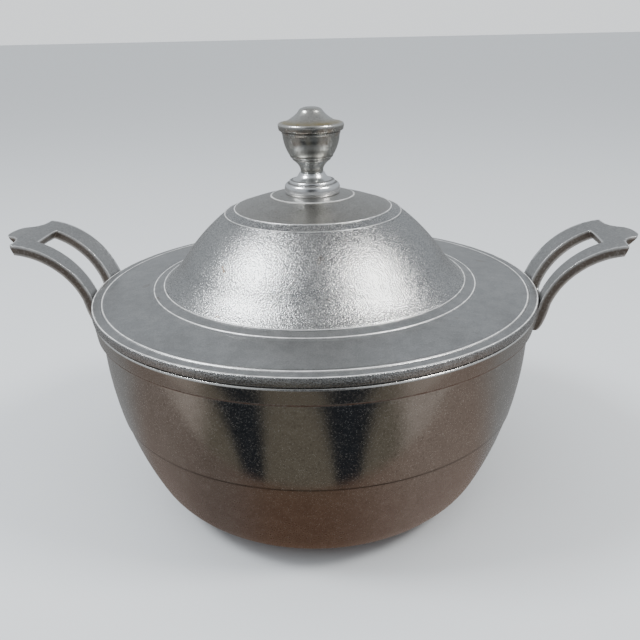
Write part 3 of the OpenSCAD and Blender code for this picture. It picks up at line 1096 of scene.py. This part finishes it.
@dataclass
class Studio:
    """A pale floor, soft window-like lamps and the camera."""
    place: tuple[float, float, float] = (0.0364, -0.4000, 0.2636)
    heading: float = -4.83
    dip: float = 21.652
    roll: float = -1.27
    lens: float = 40.9
    paper: Colour = (0.60, 0.62, 0.64)
    backdrop: Colour = (1.20, 1.24, 1.27)
    lamp_reach: float = 0.97
    lamp_shift: float = 0.07
    lamp_front: float = -0.36
    lamp_height: float = 1.22
    lamp_size: Point = (0.40, 0.36)
    lamp_power: float = 19.0
    aim: tuple[float, float, float] = (0.0, 0.0, 0.14)
    sky_power: float = 2.6
    sky_spread: float = 80.0
    sky_tilt: Point = (18.0, -8.0)

    def floor(self) -> None:
        """Lays a wide plain floor. To glossy rays only it glows with a painted reflection of a dark table in
        a dim room, so polished metal mirrors that picture instead of the floor.
        """
        mesh = bmesh.new()
        bmesh.ops.create_grid(mesh, x_segments=2, y_segments=2, size=30.0)
        data = bpy.data.meshes.new("floor")
        mesh.to_mesh(data)
        mesh.free()
        t = Tree("floor_paper")
        # Painted reflection: these colours are emitted only towards glossy rays, as a brown table, dark
        # patches and a pale room further off.
        lean = (t.r - 0.165) / 0.14
        left = ((t.bearing + 0.335 + lean * 0.13) / (0.07 + lean * 0.10)).near(0.0, 1.35, 0.75)
        right = ((t.bearing - 0.275 - lean * 0.03) / (0.08 + lean * 0.10)).near(0.0, 1.35, 0.75)
        room = t.mix(left.atleast(right), (0.165, 0.15, 0.122), (0.024, 0.028, 0.035))
        room = t.mix(t.bearing.near(-0.03, 0.82, 0.60), (0.40, 0.355, 0.325), room)
        room = t.mix(t.r.step(0.42, 0.80), room, (0.40, 0.42, 0.43))
        near = t.mix(t.bearing.step(0.05, 0.90), (0.160, 0.104, 0.076), (0.29, 0.236, 0.208))
        near = t.mix(t.bearing.step(-0.15, -0.60), near, (0.175, 0.142, 0.126))
        near = t.mix(t.bearing.step(-0.60, -1.10), near, (0.25, 0.21, 0.19))
        table = t.mix(t.y.step(-0.148, -0.158), near, room)
        away = t.bearing.near(0.0, 1.75, 1.25) * t.r.step(1.10, 0.70)
        table = t.mix(away, (0.31, 0.315, 0.32), table)
        mirrored = Signal(t, t.node("ShaderNodeLightPath").outputs["Is Glossy Ray"])
        black = (0.0, 0.0, 0.0)
        data.materials.append(t.dress(Base_Color=t.mix(mirrored, self.paper, black), Roughness=1.0,
                                      Specular_IOR_Level=0.0, Emission_Strength=1.0,
                                      Emission_Color=t.mix(mirrored, black, table)))
        plane = bpy.data.objects.new("floor", data)
        bpy.context.scene.collection.objects.link(plane)

    def lamp(self, name: str, side: int, colour: Colour) -> None:
        """Hangs a rectangular lamp, aimed at the object.

        Args:
            name: Its name.
            side: -1 for the left, 1 for the right.
            colour: Its colour.
        """
        light = bpy.data.lights.new(name, "AREA")
        light.shape, light.size, light.size_y = "RECTANGLE", *self.lamp_size
        light.energy, light.color = self.lamp_power, colour
        lamp = bpy.data.objects.new(name, light)
        lamp.location = (self.lamp_reach * side + self.lamp_shift, self.lamp_front, self.lamp_height)
        lamp.rotation_euler = (Vector(self.aim) - lamp.location).to_track_quat("-Z", "Y").to_euler()
        bpy.context.scene.collection.objects.link(lamp)

    def sun(self) -> None:
        """Lights the floor evenly and softly, without a mirror image in the metal."""
        light = bpy.data.lights.new("soft_sky", "SUN")
        light.energy, light.angle = self.sky_power, math.radians(self.sky_spread)
        light.color = (0.97, 0.985, 1.0)
        sky = bpy.data.objects.new("soft_sky", light)
        sky.rotation_euler = (*(math.radians(a) for a in self.sky_tilt), 0)
        sky.visible_glossy = False
        bpy.context.scene.collection.objects.link(sky)

    def lights(self) -> None:
        """Hangs the lamps and sets the soft light all round."""
        self.sun()
        self.lamp("left_window", -1, (0.95, 0.98, 1.0))
        self.lamp("right_window", 1, (1.0, 0.99, 0.96))
        t = Tree("soft_room", sky=True)
        room = t.mix(t.z.step(0.62, 0.92), (0.50, 0.53, 0.56), (0.37, 0.38, 0.39))
        front = t.bearing.near(0.05, 0.62, 0.15) * t.z.step(0.80, 0.45)
        room = t.mix(front, room, (0.03, 0.032, 0.036))
        seen = Signal(t, t.node("ShaderNodeLightPath").outputs["Is Camera Ray"])
        t.dress(Color=t.mix(seen, room, self.backdrop))
        bpy.context.scene.world = t.material

    def camera(self) -> None:
        """Sets up the camera."""
        data = bpy.data.cameras.new("camera")
        data.lens, data.sensor_width = self.lens, 36.0
        data.clip_start = 0.01
        camera = bpy.data.objects.new("camera", data)
        a, e, p = (math.radians(v) for v in (self.heading, self.dip, self.roll))
        ahead = Vector((math.sin(a) * math.cos(e), math.cos(a) * math.cos(e), -math.sin(e)))
        right = ahead.cross(Vector((0, 0, 1))).normalized()
        up = right.cross(ahead)
        across = math.cos(p) * right + math.sin(p) * up
        upward = math.cos(p) * up - math.sin(p) * right
        turn = Matrix((across, upward, -ahead)).transposed().to_4x4()
        camera.matrix_world = Matrix.Translation(self.place) @ turn
        bpy.context.scene.collection.objects.link(camera)
        bpy.context.scene.camera = camera

    def build(self) -> None:
        """Sets up floor, lights and camera."""
        self.floor()
        self.lights()
        self.camera()


def main() -> None:
    """Builds every piece around the frame."""
    logging.basicConfig(level=logging.INFO, format="%(name)s: %(message)s")
    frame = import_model()
    low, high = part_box("bowl")
    rim_radius, rim_height = (high.x - low.x) / 2 / MM, high.z / MM
    lid_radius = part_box("lid")[1].x / MM
    pieces = [BowlCasting(rim_radius, rim_height).build()]
    strap = StrapFinish().material()
    pieces += [StrapHandle(side, rim_radius, rim_height).build(strap) for side in Side]
    pieces.append(LidCasting(rim_height, lid_radius).build())
    pieces.append(Pedestal(rim_height).build())
    pieces.append(Urn(rim_height).build())
    for piece in pieces:
        LOG.info("%s: %d faces", piece.name, len(piece.data.polygons))
    fasteners = Fasteners()
    fasteners.build(frame["nodes"])
    for name in fasteners.names:
        LOG.info("%s: dressed as it is", name)
    Studio().build()


if __name__ == "__main__":
    main()
